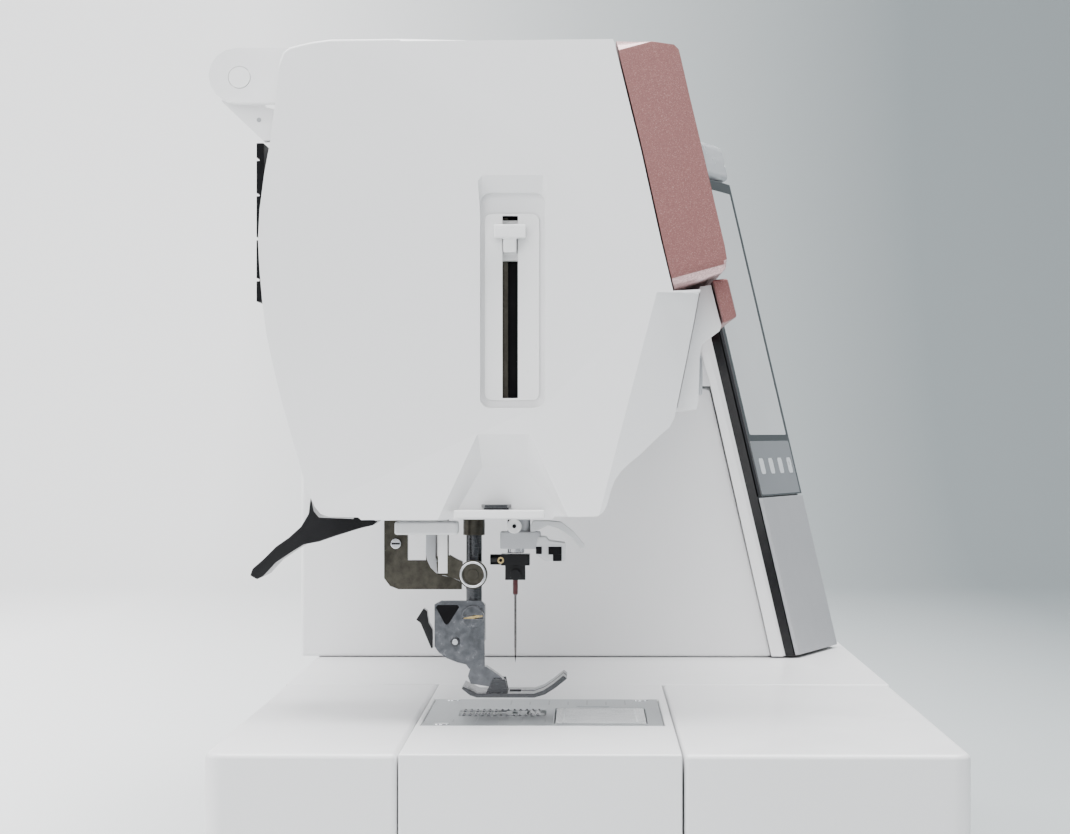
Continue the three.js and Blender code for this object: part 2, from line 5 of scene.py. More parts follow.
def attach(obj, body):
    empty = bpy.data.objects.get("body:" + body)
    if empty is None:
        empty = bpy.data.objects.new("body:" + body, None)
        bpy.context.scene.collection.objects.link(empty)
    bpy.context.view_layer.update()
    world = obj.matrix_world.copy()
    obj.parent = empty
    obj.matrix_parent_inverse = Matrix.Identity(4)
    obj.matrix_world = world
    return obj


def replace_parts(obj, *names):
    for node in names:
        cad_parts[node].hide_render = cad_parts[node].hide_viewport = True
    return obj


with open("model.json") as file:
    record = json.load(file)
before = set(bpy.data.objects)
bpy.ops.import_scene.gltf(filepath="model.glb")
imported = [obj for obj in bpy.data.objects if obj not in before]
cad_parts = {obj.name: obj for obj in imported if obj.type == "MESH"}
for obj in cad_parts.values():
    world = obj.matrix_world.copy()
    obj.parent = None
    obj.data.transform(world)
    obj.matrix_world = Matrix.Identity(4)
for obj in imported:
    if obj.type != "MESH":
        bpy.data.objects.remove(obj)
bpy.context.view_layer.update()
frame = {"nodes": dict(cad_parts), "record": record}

NODES = frame["nodes"]
BODY = {n: b for b, ns in frame["record"]["behaviour"]["bodies"].items() for n in ns}
SLOT = {s["node"]: s["material_slot"] for s in frame["record"]["subparts"]}
OX, OY = -279.0, -5.7


def D(x, y, z):
    """design millimetres to the row frame in metres"""
    return Vector(((x + OX) / 1000, (y + OY) / 1000, z / 1000))


# ------------------------------------------------------------------ camera
cam_data = bpy.data.cameras.new("camera")
cam = bpy.data.objects.new("camera", cam_data)
bpy.context.scene.collection.objects.link(cam)
bpy.context.scene.camera = cam
cam_data.sensor_width = 36
cam_data.lens = 36 * 3160 / 1070
cam.location = D(-985, 0, 170.7)
look = Vector((1, 52 / 3160, 14 / 3160)).normalized()
cam.rotation_euler = look.to_track_quat("-Z", "Y").to_euler()
cam_data.clip_start, cam_data.clip_end = 0.05, 30


# ------------------------------------------------------------------ materials
def nodes_of(m):
    m.use_nodes = True
    t = m.node_tree
    t.nodes.clear()
    out = t.nodes.new("ShaderNodeOutputMaterial")
    b = t.nodes.new("ShaderNodeBsdfPrincipled")
    t.links.new(b.outputs[0], out.inputs[0])
    return t, b


def coords(t, scale=(1, 1, 1)):
    c = t.nodes.new("ShaderNodeTexCoord")
    mp = t.nodes.new("ShaderNodeMapping")
    mp.inputs["Scale"].default_value = scale
    t.links.new(c.outputs["Object"], mp.inputs[0])
    return mp.outputs[0]


def noise(t, vec, scale, detail=3, rough=0.5):
    n = t.nodes.new("ShaderNodeTexNoise")
    n.inputs["Scale"].default_value = scale
    n.inputs["Detail"].default_value = detail
    n.inputs["Roughness"].default_value = rough
    t.links.new(vec, n.inputs["Vector"])
    return n.outputs["Fac"]


def ramp(t, fac, stops):
    r = t.nodes.new("ShaderNodeValToRGB")
    e = r.color_ramp.elements
    while len(e) < len(stops):
        e.new(0.5)
    for k, (p, c) in enumerate(stops):
        e[k].position = p
        e[k].color = (*c, 1)
    t.links.new(fac, r.inputs[0])
    return r.outputs[0]


def remap(t, fac, lo, hi, a=0.3, b=0.7):
    r = t.nodes.new("ShaderNodeMapRange")
    r.inputs["From Min"].default_value, r.inputs["From Max"].default_value = a, b
    r.inputs["To Min"].default_value, r.inputs["To Max"].default_value = lo, hi
    t.links.new(fac, r.inputs[0])
    return r.outputs[0]


def bump(t, b, fac, strength, dist):
    n = t.nodes.new("ShaderNodeBump")
    n.inputs["Strength"].default_value = strength
    n.inputs["Distance"].default_value = dist
    t.links.new(fac, n.inputs["Height"])
    t.links.new(n.outputs[0], b.inputs["Normal"])


def scaled(c, k):
    return tuple(min(1, v * k) for v in c)


def plastic(name, color, rough=0.35, coat=0.0, grain=2600, depth=0.00004, vary=0.02, strength=0.25, spec=0.5, edge_highlight=0.0):
    m = bpy.data.materials.new(name)
    t, b = nodes_of(m)
    v = coords(t)
    soft = noise(t, v, 9, 2)
    c = ramp(t, soft, [(0.25, scaled(color, 1 - vary)), (0.75, scaled(color, 1 + vary))])
    # painted highlight: convex edges (by Pointiness) are painted lighter, standing in for light caught on the rounded
    # edges
    if edge_highlight:
        g = t.nodes.new("ShaderNodeNewGeometry")
        mix = t.nodes.new("ShaderNodeMixRGB")
        mix.inputs[2].default_value = (*scaled(color, 1 + edge_highlight), 1)
        t.links.new(remap(t, g.outputs["Pointiness"], 0, 0.7, 0.52, 0.62), mix.inputs[0])
        t.links.new(c, mix.inputs[1])
        c = mix.outputs[0]
    t.links.new(c, b.inputs["Base Color"])
    t.links.new(remap(t, noise(t, v, 60, 4), rough - 0.04, rough + 0.05), b.inputs["Roughness"])
    b.inputs["Coat Weight"].default_value = coat
    b.inputs["Coat Roughness"].default_value = 0.08
    b.inputs["Specular IOR Level"].default_value = spec
    bump(t, b, noise(t, v, grain, 2), strength, depth)
    return m


def metal(name, color, rough=0.25, streak=(1, 1, 1), scale=900, vary=0.12, depth=0.00003, spots=0.0, strength=0.3):
    m = bpy.data.materials.new(name)
    t, b = nodes_of(m)
    v = coords(t, streak)
    f = noise(t, v, scale, 4, 0.6)
    c = ramp(t, f, [(0.3, scaled(color, 1 - vary)), (0.7, scaled(color, 1 + vary))])
    if spots:
        s = noise(t, coords(t), 140, 5, 0.7)
        mix = t.nodes.new("ShaderNodeMixRGB")
        mix.inputs[2].default_value = (*scaled(color, 0.5), 1)
        t.links.new(remap(t, s, 0, spots, 0.52, 0.72), mix.inputs[0])
        t.links.new(c, mix.inputs[1])
        c = mix.outputs[0]
    t.links.new(c, b.inputs["Base Color"])
    t.links.new(remap(t, f, max(0.03, rough - 0.08), rough + 0.1), b.inputs["Roughness"])
    b.inputs["Metallic"].default_value = 1
    bump(t, b, f, strength, depth)
    return m


def rose(name, base, flake, rough, metallic=0.55):
    m = bpy.data.materials.new(name)
    t, b = nodes_of(m)
    v = coords(t)
    cells = t.nodes.new("ShaderNodeTexVoronoi")
    cells.inputs["Scale"].default_value = 5200
    t.links.new(v, cells.inputs["Vector"])
    g = t.nodes.new("ShaderNodeSeparateColor")
    t.links.new(cells.outputs["Color"], g.inputs[0])
    c = ramp(t, g.outputs[0], [(0.0, scaled(base, 0.80)), (0.55, base), (0.86, scaled(base, 1.12)), (1.0, flake)])
    t.links.new(c, b.inputs["Base Color"])
    t.links.new(remap(t, g.outputs[1], rough - 0.1, rough + 0.12, 0, 1), b.inputs["Roughness"])
    b.inputs["Metallic"].default_value = metallic
    b.inputs["Coat Weight"].default_value = 0.12
    b.inputs["Coat Roughness"].default_value = 0.12
    bump(t, b, g.outputs[2], 0.12, 0.00002)
    return m


def clear(name, color, rough=0.12, alpha=1.0, trans=0.6, ior=1.45):
    m = bpy.data.materials.new(name)
    t, b = nodes_of(m)
    v = coords(t)
    c = ramp(t, noise(t, v, 40, 3), [(0.3, scaled(color, 0.95)), (0.7, scaled(color, 1.04))])
    t.links.new(c, b.inputs["Base Color"])
    t.links.new(remap(t, noise(t, v, 180, 3), rough, rough + 0.08), b.inputs["Roughness"])
    b.inputs["Transmission Weight"].default_value = trans
    b.inputs["IOR"].default_value = ior
    b.inputs["Alpha"].default_value = alpha
    bump(t, b, noise(t, v, 1500, 2), 0.15, 0.00002)
    return m


M = {
    # the white casing gets a painted highlight on its convex edges
    "white_casing": plastic("white_moulded_casing", (0.80, 0.80, 0.805), 0.38, coat=0.1, edge_highlight=0.05),
    "white_control": plastic("white_moulded_control", (0.83, 0.83, 0.83), 0.30, coat=0.2, grain=3200),
    "grey_control": plastic("grey_moulded_control", (0.42, 0.43, 0.45), 0.45, grain=3600, strength=0.5),
    "pale_grey": plastic("pale_grey_moulding", (0.60, 0.61, 0.62), 0.42, grain=3600),
    "rose_fascia": rose("rose_gold_flake", (0.235, 0.098, 0.092), (0.36, 0.20, 0.19), 0.46, 0.4),
    # a pale copy of the rose finish, used as a painted highlight on the fascia's rolls
    "rose_edge": rose("rose_gold_painted_edge_highlight", (0.60, 0.40, 0.40), (0.78, 0.60, 0.60), 0.28, 0.3),
    "rubber": plastic("matte_rubber", (0.025, 0.025, 0.026), 0.85, grain=1800, strength=0.6),
    "pan": plastic("base_pan_grey", (0.42, 0.43, 0.44), 0.6, grain=1500, strength=0.6),
    "needle_plate_steel": metal("needle_plate_brushed", (0.42, 0.44, 0.45), 0.36, (2, 40, 1), 500),
    "polished_steel": metal("polished_steel", (0.66, 0.67, 0.69), 0.16, (1, 1, 14), 500, 0.08),
    "foot_steel": metal("nickel_plated_steel", (0.135, 0.14, 0.152), 0.2, (1, 1, 1), 420, 0.3, spots=0.6),
    "bronze_metal": metal("burnished_dark_metal", (0.062, 0.058, 0.048), 0.36, (1, 1, 1), 420, 0.25, spots=0.7),
    "dark_steel": metal("dark_steel_rod", (0.075, 0.077, 0.082), 0.22, (1, 1, 18), 400, 0.15),
    "needle_steel": metal("needle_steel", (0.13, 0.12, 0.12), 0.25, (1, 1, 12), 500, 0.2),
    "gold": metal("brass_slot", (0.50, 0.38, 0.18), 0.28, (1, 1, 1), 500, 0.15),
    "cast_aluminium": metal("cast_aluminium", (0.42, 0.43, 0.45), 0.5, (1, 1, 1), 300, 0.15, 0.0002, spots=0.2, strength=0.6),
    "clear_plastic": clear("clear_moulding", (0.86, 0.89, 0.90), 0.12, 1.0, 0.7),
    "frost": clear("frosted_light_guide", (0.93, 0.94, 0.95), 0.35, 1.0, 0.35),
    "smoke_plastic": clear("smoked_grey_cap", (0.68, 0.70, 0.72), 0.2, 1.0, 0.45),
    "screen": plastic("screen_glass_black", (0.012, 0.013, 0.015), 0.07, coat=0.6, grain=400, strength=0.03, vary=0.1),
    "display": plastic("unlit_display", (0.66, 0.68, 0.69), 0.16, coat=0.6, grain=5000, strength=0.05, vary=0.05),
    "icon_row": plastic("icon_row_glass", (0.22, 0.23, 0.245), 0.2, coat=0.5, grain=4000, strength=0.05, vary=0.08),
    "icon": plastic("printed_icon", (0.62, 0.64, 0.66), 0.3, grain=4000, strength=0.05),
    "panel_grey": plastic("panel_lower_grey", (0.36, 0.365, 0.38), 0.36, grain=3800, strength=0.35, vary=0.03),
    "black_plastic": plastic("gloss_black_plastic", (0.006, 0.006, 0.007), 0.2, coat=0.1, spec=0.25, grain=900, strength=0.05, vary=0.15),
    "vent_black": plastic("matte_black_plastic", (0.006, 0.006, 0.007), 0.6, spec=0.08, grain=2600, strength=0.5, vary=0.15),
    "red": plastic("red_shank_mark", (0.075, 0.004, 0.007), 0.3, vary=0.2),
    "ink": plastic("grey_print", (0.33, 0.34, 0.35), 0.5, grain=3000),
}


# ------------------------------------------------------------------ mesh helpers
def link(name, bm, body, mat):
    me = bpy.data.meshes.new(name)
    bmesh.ops.recalc_face_normals(bm, faces=bm.faces)
    bm.to_mesh(me)
    bm.free()
    o = bpy.data.objects.new(name, me)
    bpy.context.scene.collection.objects.link(o)
    for m in (mat if isinstance(mat, (list, tuple)) else [mat]):
        me.materials.append(M[m])
    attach(o, body)
    return o


def shade(o, angle=38):
    me = o.data
    me.shade_smooth()
    me.set_sharp_from_angle(angle=math.radians(angle))
    w = o.modifiers.new("weighted", "WEIGHTED_NORMAL")
    w.keep_sharp = True
    w.weight = 60
    return o


def sharp_edges(bm, angle=28, pick=None):
    return [e for e in bm.edges if len(e.link_faces) == 2 and e.calc_face_angle(0) > math.radians(angle) and (pick is None or pick(e))]


def bevel(bm, width, seg=3, angle=28, pick=None, clamp=True):
    es = sharp_edges(bm, angle, pick)
    if es:
        bmesh.ops.bevel(bm, geom=es, offset=width, offset_type="OFFSET", segments=seg, profile=0.5, affect="EDGES", clamp_overlap=clamp)


def from_node(node):
    bm = bmesh.new()
    bm.from_mesh(NODES[node].data)
    bmesh.ops.remove_doubles(bm, verts=bm.verts, dist=2e-6)
    bmesh.ops.dissolve_limit(bm, angle_limit=math.radians(0.6), use_dissolve_boundaries=False, verts=bm.verts, edges=bm.edges, delimit=set())
    return bm


def refine(node, width=0.4, seg=3, mat=None, name=None, angle=28, first=None, paint=None, shade_angle=38):
    """a finished shell of a CAD piece: rounded edges, smooth shading, its own material"""
    bm = from_node(node)
    for w, s, pick in first or []:
        bevel(bm, w / 1000, s, angle, pick)
    if width:
        bevel(bm, width / 1000, seg, angle)
    o = link(name or node + "_finish", bm, BODY[node], mat or SLOT[node])
    if paint:
        for p in o.data.polygons:
            p.material_index = paint(p, o.data)
    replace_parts(o, node)
    return shade(o, shade_angle)


def ring_prism(bm, pts, to3, a, b):
    lo = [bm.verts.new(to3(p, a)) for p in pts]
    hi = [bm.verts.new(to3(p, b)) for p in pts]
    bm.faces.new(lo)
    bm.faces.new(hi)
    n = len(pts)
    for k in range(n):
        bm.faces.new((lo[k], lo[(k + 1) % n], hi[(k + 1) % n], hi[k]))


def yz(bm, pts, x0, x1):
    ring_prism(bm, pts, lambda p, a: D(a, p[0], p[1]), x0, x1)


def xy(bm, pts, z0, z1):
    ring_prism(bm, pts, lambda p, a: D(p[0], p[1], a), z0, z1)


def xz(bm, pts, y0, y1):
    ring_prism(bm, pts, lambda p, a: D(p[0], a, p[1]), y0, y1)


def box(bm, x0, x1, y0, y1, z0, z1):
    xy(bm, [(x0, y0), (x1, y0), (x1, y1), (x0, y1)], z0, z1)


def disc(c, r, n=32, r2=None):
    return [(c[0] + r * math.cos(2 * math.pi * k / n), c[1] + (r2 or r) * math.sin(2 * math.pi * k / n)) for k in range(n)]


def piece(name, body, mat, build, width=0.25, seg=2, angle=28, sa=38):
    bm = bmesh.new()
    build(bm)
    bmesh.ops.recalc_face_normals(bm, faces=bm.faces)
    if width:
        bevel(bm, width / 1000, seg, angle)
    return shade(link(name, bm, body, mat), sa)


def rrect(a0, a1, b0, b1, r, n=5):
    out = []
    for cx, cy, s in ((a1 - r, b0 + r, -90), (a1 - r, b1 - r, 0), (a0 + r, b1 - r, 90), (a0 + r, b0 + r, 180)):
        for k in range(n + 1):
            t = math.radians(s + 90 * k / n)
            out.append((cx + r * math.cos(t), cy + r * math.sin(t)))
    return out


# ------------------------------------------------------------------ casings
def at_x(e, x, tol=0.0003):
    return all(abs(v.co.x - D(x, 0, 0).x) < tol for v in e.verts)


def outline(e, lo_z=0, hi_z=400, lo_y=-200, hi_y=200):
    return at_x(e, 90) and all(lo_z / 1000 < v.co.z < hi_z / 1000 and D(0, lo_y, 0).y < v.co.y < D(0, hi_y, 0).y for v in e.verts)


def inner_hole(e):
    """edges of the lever recess and the cutter scoop on the end cover"""
    return all(D(0, 7, 0).y < v.co.y < D(0, 49, 0).y and 0.1405 < v.co.z < 0.262 for v in e.verts)


refine("head_end_cover", 0.35, 2, first=[
    (1.5, 3, lambda e: inner_hole(e)),
    (6.0, 5, lambda e: outline(e, 296, 320, -8, 200)),
    (4.0, 4, lambda e: outline(e, 100, 310, 60, 200)),
    (2.2, 3, lambda e: outline(e, 138, 300, -60, 100)),
])
for n, w in [("head_shell", 1.6), ("arm_shell", 2.0), ("pillar_shell", 3.0), ("pillar_side_cover", 1.2), ("base_cover", 2.2),
             ("free_arm_cover", 1.3), ("extension_table_front", 1.8), ("extension_table_rear", 1.8), ("extension_table_bridge", 1.0),
             ("top_lid", 1.2), ("button_panel", 1.0), ("handle_bracket_left", 0.8), ("handle_bracket_right", 0.8)]:
    refine(n, w)
refine("carrying_handle", 2.4, 4)
refine("base_pan", 0.8)


def pivot_caps(bm):
    yz(bm, disc((120.5, 293.3), 3.74, 40), 107.78, 108.6)
    yz(bm, disc((120.5, 293.3), 3.74, 40), 513.4, 514.22)


piece("handle_pivot_caps", "frame", "white_control", pivot_caps, 0.12)


def bracket_screw(bm):
    yz(bm, disc((114.6, 279.4), 0.8, 20), 116.7, 117.2)


piece("handle_bracket_screw", "frame", "ink", bracket_screw, 0.1)
refine("threader_guide_plate", 0.4, mat="white_control")


# the fascia: a slab whose needle end rolls over at its top and bottom; the rolls carry a paler rose copy as a painted
# highlight
FASCIA = [(-9.9, 303.9), (-22, 303.4), (-29.6, 302.2), (-31.2, 300.6), (-31.9, 297.9), (-35, 284.3), (-40.1, 262.9), (-43.6, 247.6), (-46.8, 234), (-47.6, 229.2), (-47.2, 226), (-46, 224.8), (-29.9, 218.6), (-25.6, 236.2), (-18.8, 267), (-11.2, 297.9)]
FU = Vector((22, 81)).normalized()


def fascia(bm):
    s = [Vector(p).dot(FU) for p in FASCIA]
    lo, hi = min(s), max(s)
    loops = []
    for k in range(9):
        t = math.radians(90 * k / 8)
        a, b = lo + 6.6 * (1 - math.sin(t)), hi - 4.6 * (1 - math.sin(t))
        x = 90 + 5.0 * (1 - math.cos(t))
        loops.append([bm.verts.new(D(x, *(Vector(p) + FU * (min(max(q, a), b) - q)))) for p, q in zip(FASCIA, s)])
    loops.append([bm.verts.new(D(416.4, *p)) for p in FASCIA])
    n = len(FASCIA)
    for a, b in zip(loops, loops[1:]):
        for k in range(n):
            bm.faces.new((a[k], a[(k + 1) % n], b[(k + 1) % n], b[k]))
    bm.faces.new(loops[0])
    bm.faces.new(loops[-1])
    bmesh.ops.remove_doubles(bm, verts=bm.verts, dist=1e-6)


o = piece("fascia_upper_slab", "frame", ["rose_fascia", "rose_edge"], fascia, 0.5, 3, 24)
# faces along ±u (the top and bottom rolls) take the pale rose copy: a painted highlight where the rolled edges catch
# the light
for p in o.data.polygons:
    along_u = p.normal.y * FU.x + p.normal.z * FU.y
    p.material_index = 1 if along_u < -0.3 or along_u > 0.45 else 0
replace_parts(o, "fascia_upper")
refine("fascia_lower_stripe", 0.9, 4, mat="rose_fascia")

# ------------------------------------------------------------------ controls
for n in ("start_stop_button", "reverse_button", "needle_up_down_button", "thread_cutter_button"):
    refine(n, 0.6, 4, mat="white_control" if n != "start_stop_button" else "grey_control")
refine("speed_slider", 0.5, 3)
refine("power_switch", 0.8, 3)
refine("mains_inlet", 0.5, 3)


def inlet_pins(bm):
    for y, z in ((70, 31), (76, 35), (82, 31)):
        box(bm, 526, 536, y - 0.9, y + 0.9, z - 2.6, z + 2.6)


piece("mains_inlet_pins", "frame", "polished_steel", inlet_pins, 0.2)


# handwheel with a fluted rim and a dished face
def wheel(bm):
    n = 96
    rows = [(541, 21.5), (544.2, 22), (544.6, 31), (546, 33.2), (548, 34), (554, 34), (556.4, 33), (557.8, 30.5), (557.9, 27), (556.2, 24), (555.6, 12), (556.4, 9), (557.2, 7.5)]
    loops = []
    for k, (x, r) in enumerate(rows):
        flute = 0.55 if 3 <= k <= 5 else 0.0
        loops.append([bm.verts.new(D(x, 40 + (r - flute * (1 if j % 4 < 2 else 0)) * math.cos(2 * math.pi * j / n), 234 + (r - flute * (1 if j % 4 < 2 else 0)) * math.sin(2 * math.pi * j / n))) for j in range(n)])
    for a, b in zip(loops, loops[1:]):
        for j in range(n):
            bm.faces.new((a[j], a[(j + 1) % n], b[(j + 1) % n], b[j]))
    bm.faces.new(loops[0])
    bm.faces.new(loops[-1])


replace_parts(piece("handwheel_fluted", "handwheel_and_shaft", "white_control", wheel, 0, sa=50), "handwheel")

# ------------------------------------------------------------------ screen panel
LEAN = 0.2334


def along(t, d, z):
    return D(418 + 70 * t - d * 0.306, -94.5 - 22.5 * t + d * 0.952 + LEAN * (z - 70), z)


def slab(bm, t0, t1, d0, d1, z0, z1, r=0.0):
    """a plate lying in the panel's plane: t across it, d behind its face"""
    w = 73.5
    pts = rrect(t0 * w, t1 * w, z0, z1, r, 5) if r else [(t0 * w, z0), (t1 * w, z0), (t1 * w, z1), (t0 * w, z1)]
    lo = [bm.verts.new(along(p / w, d0, z)) for p, z in pts]
    hi = [bm.verts.new(along(p / w, d1, z)) for p, z in pts]
    bm.faces.new(lo)
    bm.faces.new(hi)
    n = len(pts)
    for k in range(n):
        bm.faces.new((lo[k], lo[(k + 1) % n], hi[(k + 1) % n], hi[k]))


PANEL_N = Vector((-22.5, -70, 16.34)).normalized()  # out of the panel's face
BAND = along(0.5, 7.6, 150)
bm = from_node("screen_housing")
bevel(bm, 0.0009, 3, 28)
bmesh.ops.bisect_plane(bm, geom=bm.verts[:] + bm.edges[:] + bm.faces[:], dist=1e-6, plane_co=BAND, plane_no=PANEL_N)
o = link("screen_housing_case", bm, BODY["screen_housing"], ["black_plastic", "white_casing"])
for p in o.data.polygons:
    p.material_index = 1 if (Vector(p.center) - BAND).dot(PANEL_N) < 0 else 0
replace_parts(o, "screen_housing")
shade(o)


def housing_seam(bm):
    yz(bm, [(-81.9, 70.8), (-54.3, 193), (-50.6, 205.5), (-53.4, 205.5), (-57.4, 193), (-87.0, 70.8)], 417.4, 424)


piece("screen_housing_seam", "frame", "white_casing", housing_seam, 0)
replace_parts(piece("screen_glass_plate", "frame", "screen", lambda bm: slab(bm, 0.0, 1.0, 0.25, 2.0, 141.6, 285.4), 0.35), "screen_glass")
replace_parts(piece("screen_lower_cover", "frame", "panel_grey", lambda bm: slab(bm, 0.0, 1.0, 0.12, 2.0, 71.4, 141.0), 0.4), "screen_lower_panel")
piece("screen_display", "frame", "display", lambda bm: slab(bm, 0.06, 0.93, 0.05, 0.5, 169, 280.5, 1.2), 0)
piece("screen_icon_row", "frame", "icon_row", lambda bm: slab(bm, 0.02, 0.95, 0.05, 0.5, 142.4, 166.2, 1.0), 0)


def icons(bm):
    for k in range(4):
        t = 0.12 + 0.225 * k
        slab(bm, t, t + 0.10, 0.0, 0.1, 151.5, 158.5, 1.6)


piece("screen_touch_keys", "frame", "icon", icons, 0)
refine("screen_top_cap", 3.2, 6)

# ------------------------------------------------------------------ head end: lever recess and cutter
refine("threader_lever", 0.5, 3)


def cutter_tray(bm):
    xy(bm, [(91, 14.4), (96.6, 14.8), (96.6, 44.6), (91, 45.4)], 140.9, 143.8)


def cutter_blade(bm):
    xy(bm, [(97.2, 25.9), (97.2, 36.2), (91.4, 34.8), (91.4, 27.2)], 144.5, 145.6)
    box(bm, 95, 96.4, 26.8, 35.2, 143.7, 144.6)


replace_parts(piece("thread_cutter_tray", "frame", "white_control", cutter_tray, 0.5, 3), "thread_cutter")
piece("thread_cutter_blade", "frame", "dark_steel", cutter_blade, 0.15)

# what the slot shows inside: a dark shaft guide with a steel rail
def slot_rail(bm):
    box(bm, 101.9, 103.2, 27.2, 29.4, 182, 244)


def slot_back(bm):
    box(bm, 103.5, 103.9, 20.6, 32, 180, 246)


piece("threader_rail", "frame", "bronze_metal", slot_rail, 0.1)
piece("threader_slot_back", "frame", "vent_black", slot_back, 0)
refine("rear_vent", 0.25, 2)

# ------------------------------------------------------------------ bed
def plate_paint(p, me):
    return 0


refine("needle_plate", 0.3, 2)
refine("feed_dog", 0.12, 1, mat="foot_steel")
refine("bobbin_cover", 0.35, 2, mat="clear_plastic")


def cover_marks(bm):
    for a in ((108, 160, -17.6, -17.0), (108, 160, 8.0, 8.6), (108, 108.6, -17.6, 8.6), (159.4, 160, -17.6, 8.6)):
        box(bm, a[0], a[1], a[2], a[3], 69.75, 70.05)


piece("bobbin_cover_frame", "bobbin_cover", "pale_grey", cover_marks, 0.0)


def plate_marks(bm):
    for k in range(7):
        y = -14 + 7 * k if k < 3 else -14 + 7 * k
        box(bm, 178, 190 if k % 2 else 196, y - 0.25, y + 0.25, 69.9, 70.06)
    for k in range(5):
        y = 14.5 + 8 * k
        box(bm, 108, 124 if k % 2 else 118, y - 0.25, y + 0.25, 69.9, 70.06)


piece("needle_plate_guides", "frame", "ink", plate_marks, 0)


def plate_screws(bm):
    for x, y in ((100.5, 50), (196.5, 50), (196.5, -20)):
        xy(bm, disc((x, y), 2.8, 28), 69.4, 70.25)


piece("needle_plate_screws", "frame", "polished_steel", plate_screws, 0.2)

# ------------------------------------------------------------------ presser bar, holder, foot
refine("presser_bar", 0.3, 2, mat="dark_steel")
refine("presser_bar_bushing", 0.4, 3)
refine("foot_holder", 0.35, 3)
refine("foot_screw", 0.35, 3)
refine("snap_lever", 0.35, 3)
refine("presser_foot", 0.22, 2, mat="dark_steel")
refine("presser_lever", 1.4, 4)


def screw_slot(bm):
    yz(bm, [(36.9, 105.0), (43.5, 103.6), (43.7, 104.5), (37.1, 105.9)], 133.2, 133.7)


piece("foot_screw_slot", "presser_bar", "gold", screw_slot, 0)


# painted shade: a thin black triangle stands in for the dark opening of the foot holder's window
def holder_window(bm):
    yz(bm, [(46.0, 108.9), (53.0, 108.9), (53.7, 108.1), (50.6, 102.4), (49.8, 101.9), (49.0, 102.4), (45.4, 108.1)], 136.6, 137.3)


piece("foot_holder_window", "presser_bar", "vent_black", holder_window, 0.12)


def holder_rivet(bm):
    yz(bm, disc((46.8, 95.8), 1.7, 24), 135.9, 137.1)


def rivet_face(bm):
    yz(bm, disc((46.8, 95.8), 1.0, 24), 135.7, 136.0)


piece("foot_holder_rivet_face", "presser_bar", "polished_steel", rivet_face, 0.12)



piece("foot_holder_rivet", "presser_bar", "dark_steel", holder_rivet, 0.3)

# ------------------------------------------------------------------ upper feed drive
refine("upper_feed_plate", 0.35, 3)
refine("upper_feed_link", 0.35, 3)


def link_face(bm):
    box(bm, 130.9, 131.3, 49.3, 52.6, 120.4, 140)


piece("upper_feed_link_face", "upper_feed_link", "white_control", link_face, 0.15)


def feed_arm(bm):
    yz(bm, [(57.1, 134.2), (57.2, 127.4), (56.7, 125), (55.4, 122.2), (53.5, 120.4), (51.2, 119.4), (48.6, 119), (44.4, 117.2), (44.0, 124.6), (48.9, 126.4), (51.4, 124.6), (52.6, 122.6), (53.6, 126), (53.5, 133.8)], 134.7, 136.2)


def feed_ring_rim(bm):
    outer, inner = disc((40.3, 120), 4.7, 36), disc((40.3, 120), 3.9, 36)
    a = [bm.verts.new(D(130.9, *q)) for q in outer]
    b = [bm.verts.new(D(130.9, *q)) for q in inner]
    c = [bm.verts.new(D(131.5, *q)) for q in outer]
    d = [bm.verts.new(D(131.5, *q)) for q in inner]
    for k in range(36):
        j = (k + 1) % 36
        bm.faces.new((a[k], a[j], b[j], b[k]))
        bm.faces.new((c[k], c[j], a[j], a[k]))
        bm.faces.new((b[k], b[j], d[j], d[k]))
        bm.faces.new((d[k], d[j], c[j], c[k]))


piece("upper_feed_arm", "upper_feed_link", "grey_control", feed_arm, 0.3)
piece("upper_feed_ring_rim", "upper_feed_link", "polished_steel", feed_ring_rim, 0.12)


def plate_screw(bm):
    yz(bm, disc((68.4, 130.4), 1.9, 28), 144.1, 145.4)


# painted shade: a thin black plate stands in for the shade inside the screw's slot
def plate_screw_slot(bm):
    yz(bm, [(66.9, 130.1), (69.9, 130.1), (69.9, 130.7), (66.9, 130.7)], 143.95, 144.2)


piece("upper_feed_plate_screw", "presser_bar", "polished_steel", plate_screw, 0.3)
piece("upper_feed_plate_screw_slot", "presser_bar", "vent_black", plate_screw_slot, 0)
refine("lamp_block", 0.9, 4, mat="frost")

# ------------------------------------------------------------------ needle bar and clamp
refine("needle_bar", 0.3, 2)
refine("needle_clamp", 0.35, 3)
refine("needle", 0, 1, mat="needle_steel")


def shank_mark(bm):
    xy(bm, disc((144.4, 25.6), 0.92, 20), 112.4, 117.5)


piece("needle_shank_mark", "needle_bar", "red", shank_mark, 0.1)


def clamp_ring(bm):
    yz(bm, disc((30.7, 124.7), 1.2, 28), 139.0, 139.7)


# painted shade: a thin black disc stands in for the dark inside of the clamp ring's hole
def clamp_hole(bm):
    yz(bm, disc((30.7, 124.7), 0.6, 24), 138.8, 139.1)


piece("clamp_ring", "needle_bar", "gold", clamp_ring, 0.2)
piece("clamp_hole_painted_shade", "needle_bar", "vent_black", clamp_hole, 0)


# ------------------------------------------------------------------ needle threader
def carrier(bm):
    box(bm, 127.6, 136.2, 16.4, 30.6, 129.2, 135.2)
    xy(bm, disc((131.6, 22.4), 2.4, 24), 134, 172)
    box(bm, 118, 136, 19.4, 25.4, 168, 176)


def threader_head(bm):
    yz(bm, [(18, 131), (18, 127.4), (14.6, 124.9), (7.6, 124.9), (7.6, 131.4), (13.4, 132.2), (14.4, 133.6), (17.2, 133.6)], 127.2, 136.4)


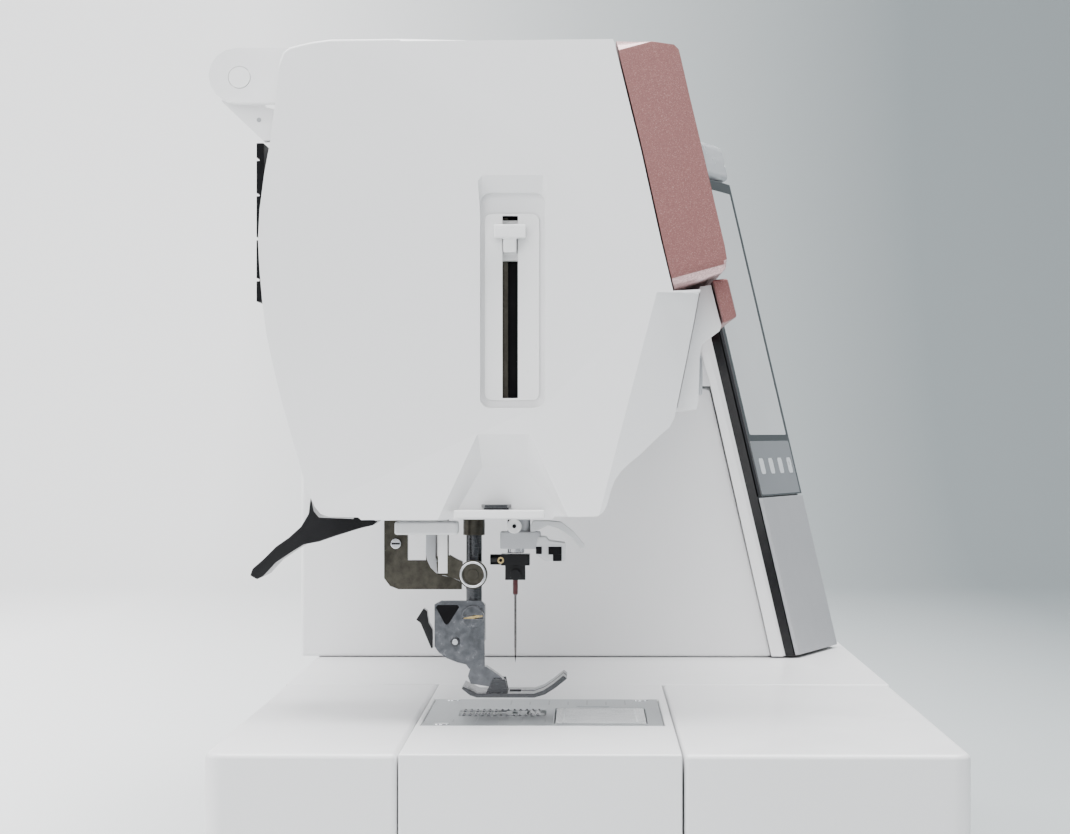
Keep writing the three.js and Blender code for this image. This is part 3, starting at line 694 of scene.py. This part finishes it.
# painted shade: thin black plates stand in for the dark openings in the hook head
def threader_windows(bm):
    box(bm, 126.9, 127.3, 15.9, 18.0, 127.4, 130.0)
    box(bm, 126.9, 127.3, 8.9, 13.6, 127.2, 130.0)
    box(bm, 126.9, 127.3, 8.9, 12.0, 124.9, 127.2)


def threader_disc(bm):
    yz(bm, disc((25.6, 137.2), 2.6, 32), 126.4, 128)


def threader_disc_core(bm):
    yz(bm, disc((25.6, 137.2), 0.7, 20), 126.1, 126.5)


def guide_arm(bm):
    yz(bm, [(20, 137.2), (19, 139.2), (13.8, 139.2), (9.2, 138.8), (4.8, 135.4), (0.8, 130.6), (1.0, 129.6), (2.2, 129.4), (6.2, 133.8), (10, 136.4), (14, 137.4), (19, 134.8), (20, 134.8)], 128, 132)


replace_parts(piece("threader_carrier_body", "threader_carrier", "grey_control", carrier, 0.5, 3), "threader_carrier")
piece("threader_hook_head", "threader_carrier", "pale_grey", threader_head, 0.5, 3)
piece("threader_head_windows", "threader_carrier", "vent_black", threader_windows, 0.1)
piece("threader_guide_arm", "threader_carrier", "pale_grey", guide_arm, 0.4, 3)
piece("threader_pivot_disc", "threader_carrier", "white_control", threader_disc, 0.3, 3)
piece("threader_pivot_core", "threader_carrier", "vent_black", threader_disc_core, 0.1)

# ------------------------------------------------------------------ inside pieces
for n, w in [("main_casting", 1.5), ("motor", 1.0), ("timing_belt", 0.3), ("upper_shaft", 0.4), ("lower_shaft", 0.4), ("rotary_hook", 0.4),
             ("bobbin", 0.3), ("take_up_lever", 0.6), ("spool_pin", 0.5)]:
    refine(n, w, 2)

# ------------------------------------------------------------------ floor, backdrop, lights
stage = bpy.data.materials.new("studio_sweep")
t, b = nodes_of(stage)
c = t.nodes.new("ShaderNodeTexCoord")
s = t.nodes.new("ShaderNodeSeparateXYZ")
t.links.new(c.outputs["Object"], s.inputs[0])
# painted light falloff: the sweep's colour runs from dark on its -Y side to bright on its +Y side
painted_falloff = remap(t, s.outputs["Y"], 0, 1, -0.45, 0.45)
t.links.new(ramp(t, painted_falloff, [(0.0, (0.25, 0.28, 0.29)), (0.5, (0.50, 0.525, 0.53)), (1.0, (0.90, 0.90, 0.90))]), b.inputs["Base Color"])
b.inputs["Roughness"].default_value = 0.9
b.inputs["Specular IOR Level"].default_value = 0.1
bm = bmesh.new()
prof = [(-3.0, 0)] + [(2.2, 0)] + [(2.2 + 0.9 * math.sin(a * math.pi / 24), 0.9 - 0.9 * math.cos(a * math.pi / 24)) for a in range(1, 13)] + [(3.1, 4.0)]
rows = [[bm.verts.new((x, y, z)) for y in (-4.5, 4.5)] for x, z in prof]
for a, b2 in zip(rows, rows[1:]):
    bm.faces.new((a[0], b2[0], b2[1], a[1]))
me = bpy.data.meshes.new("studio_floor")
bm.to_mesh(me)
bm.free()
me.materials.append(stage)
me.shade_smooth()
floor = bpy.data.objects.new("studio_floor", me)
bpy.context.scene.collection.objects.link(floor)

world = bpy.data.worlds.new("studio")
bpy.context.scene.world = world
world.use_nodes = True
world.node_tree.nodes["Background"].inputs[0].default_value = (0.92, 0.95, 1.0, 1)
world.node_tree.nodes["Background"].inputs[1].default_value = 0.52


def area(name, loc, target, size, power, color=(1, 1, 1)):
    l = bpy.data.lights.new(name, "AREA")
    l.shape = "RECTANGLE"
    l.size, l.size_y = size
    l.energy = power
    l.color = color
    o = bpy.data.objects.new(name, l)
    o.location = loc
    o.rotation_euler = (Vector(target) - Vector(loc)).to_track_quat("-Z", "Y").to_euler()
    bpy.context.scene.collection.objects.link(o)
    return o


area("top_softbox", (-0.1, 0.0, 1.7), (0, 0, 0.1), (1.6, 1.6), 92)
area("front_fill", (-2.2, 0.5, 1.1), (0, 0, 0.15), (1.6, 1.4), 27)
area("left_fill", (-0.4, 1.9, 0.8), (0, 0, 0.15), (1.2, 1.2), 24)
area("right_fill", (-0.4, -1.9, 0.7), (0, 0, 0.15), (1.0, 1.2), 9)
area("sweep_light", (1.2, 0.9, 1.9), (3.0, 0.3, 0.2), (1.6, 1.2), 60)
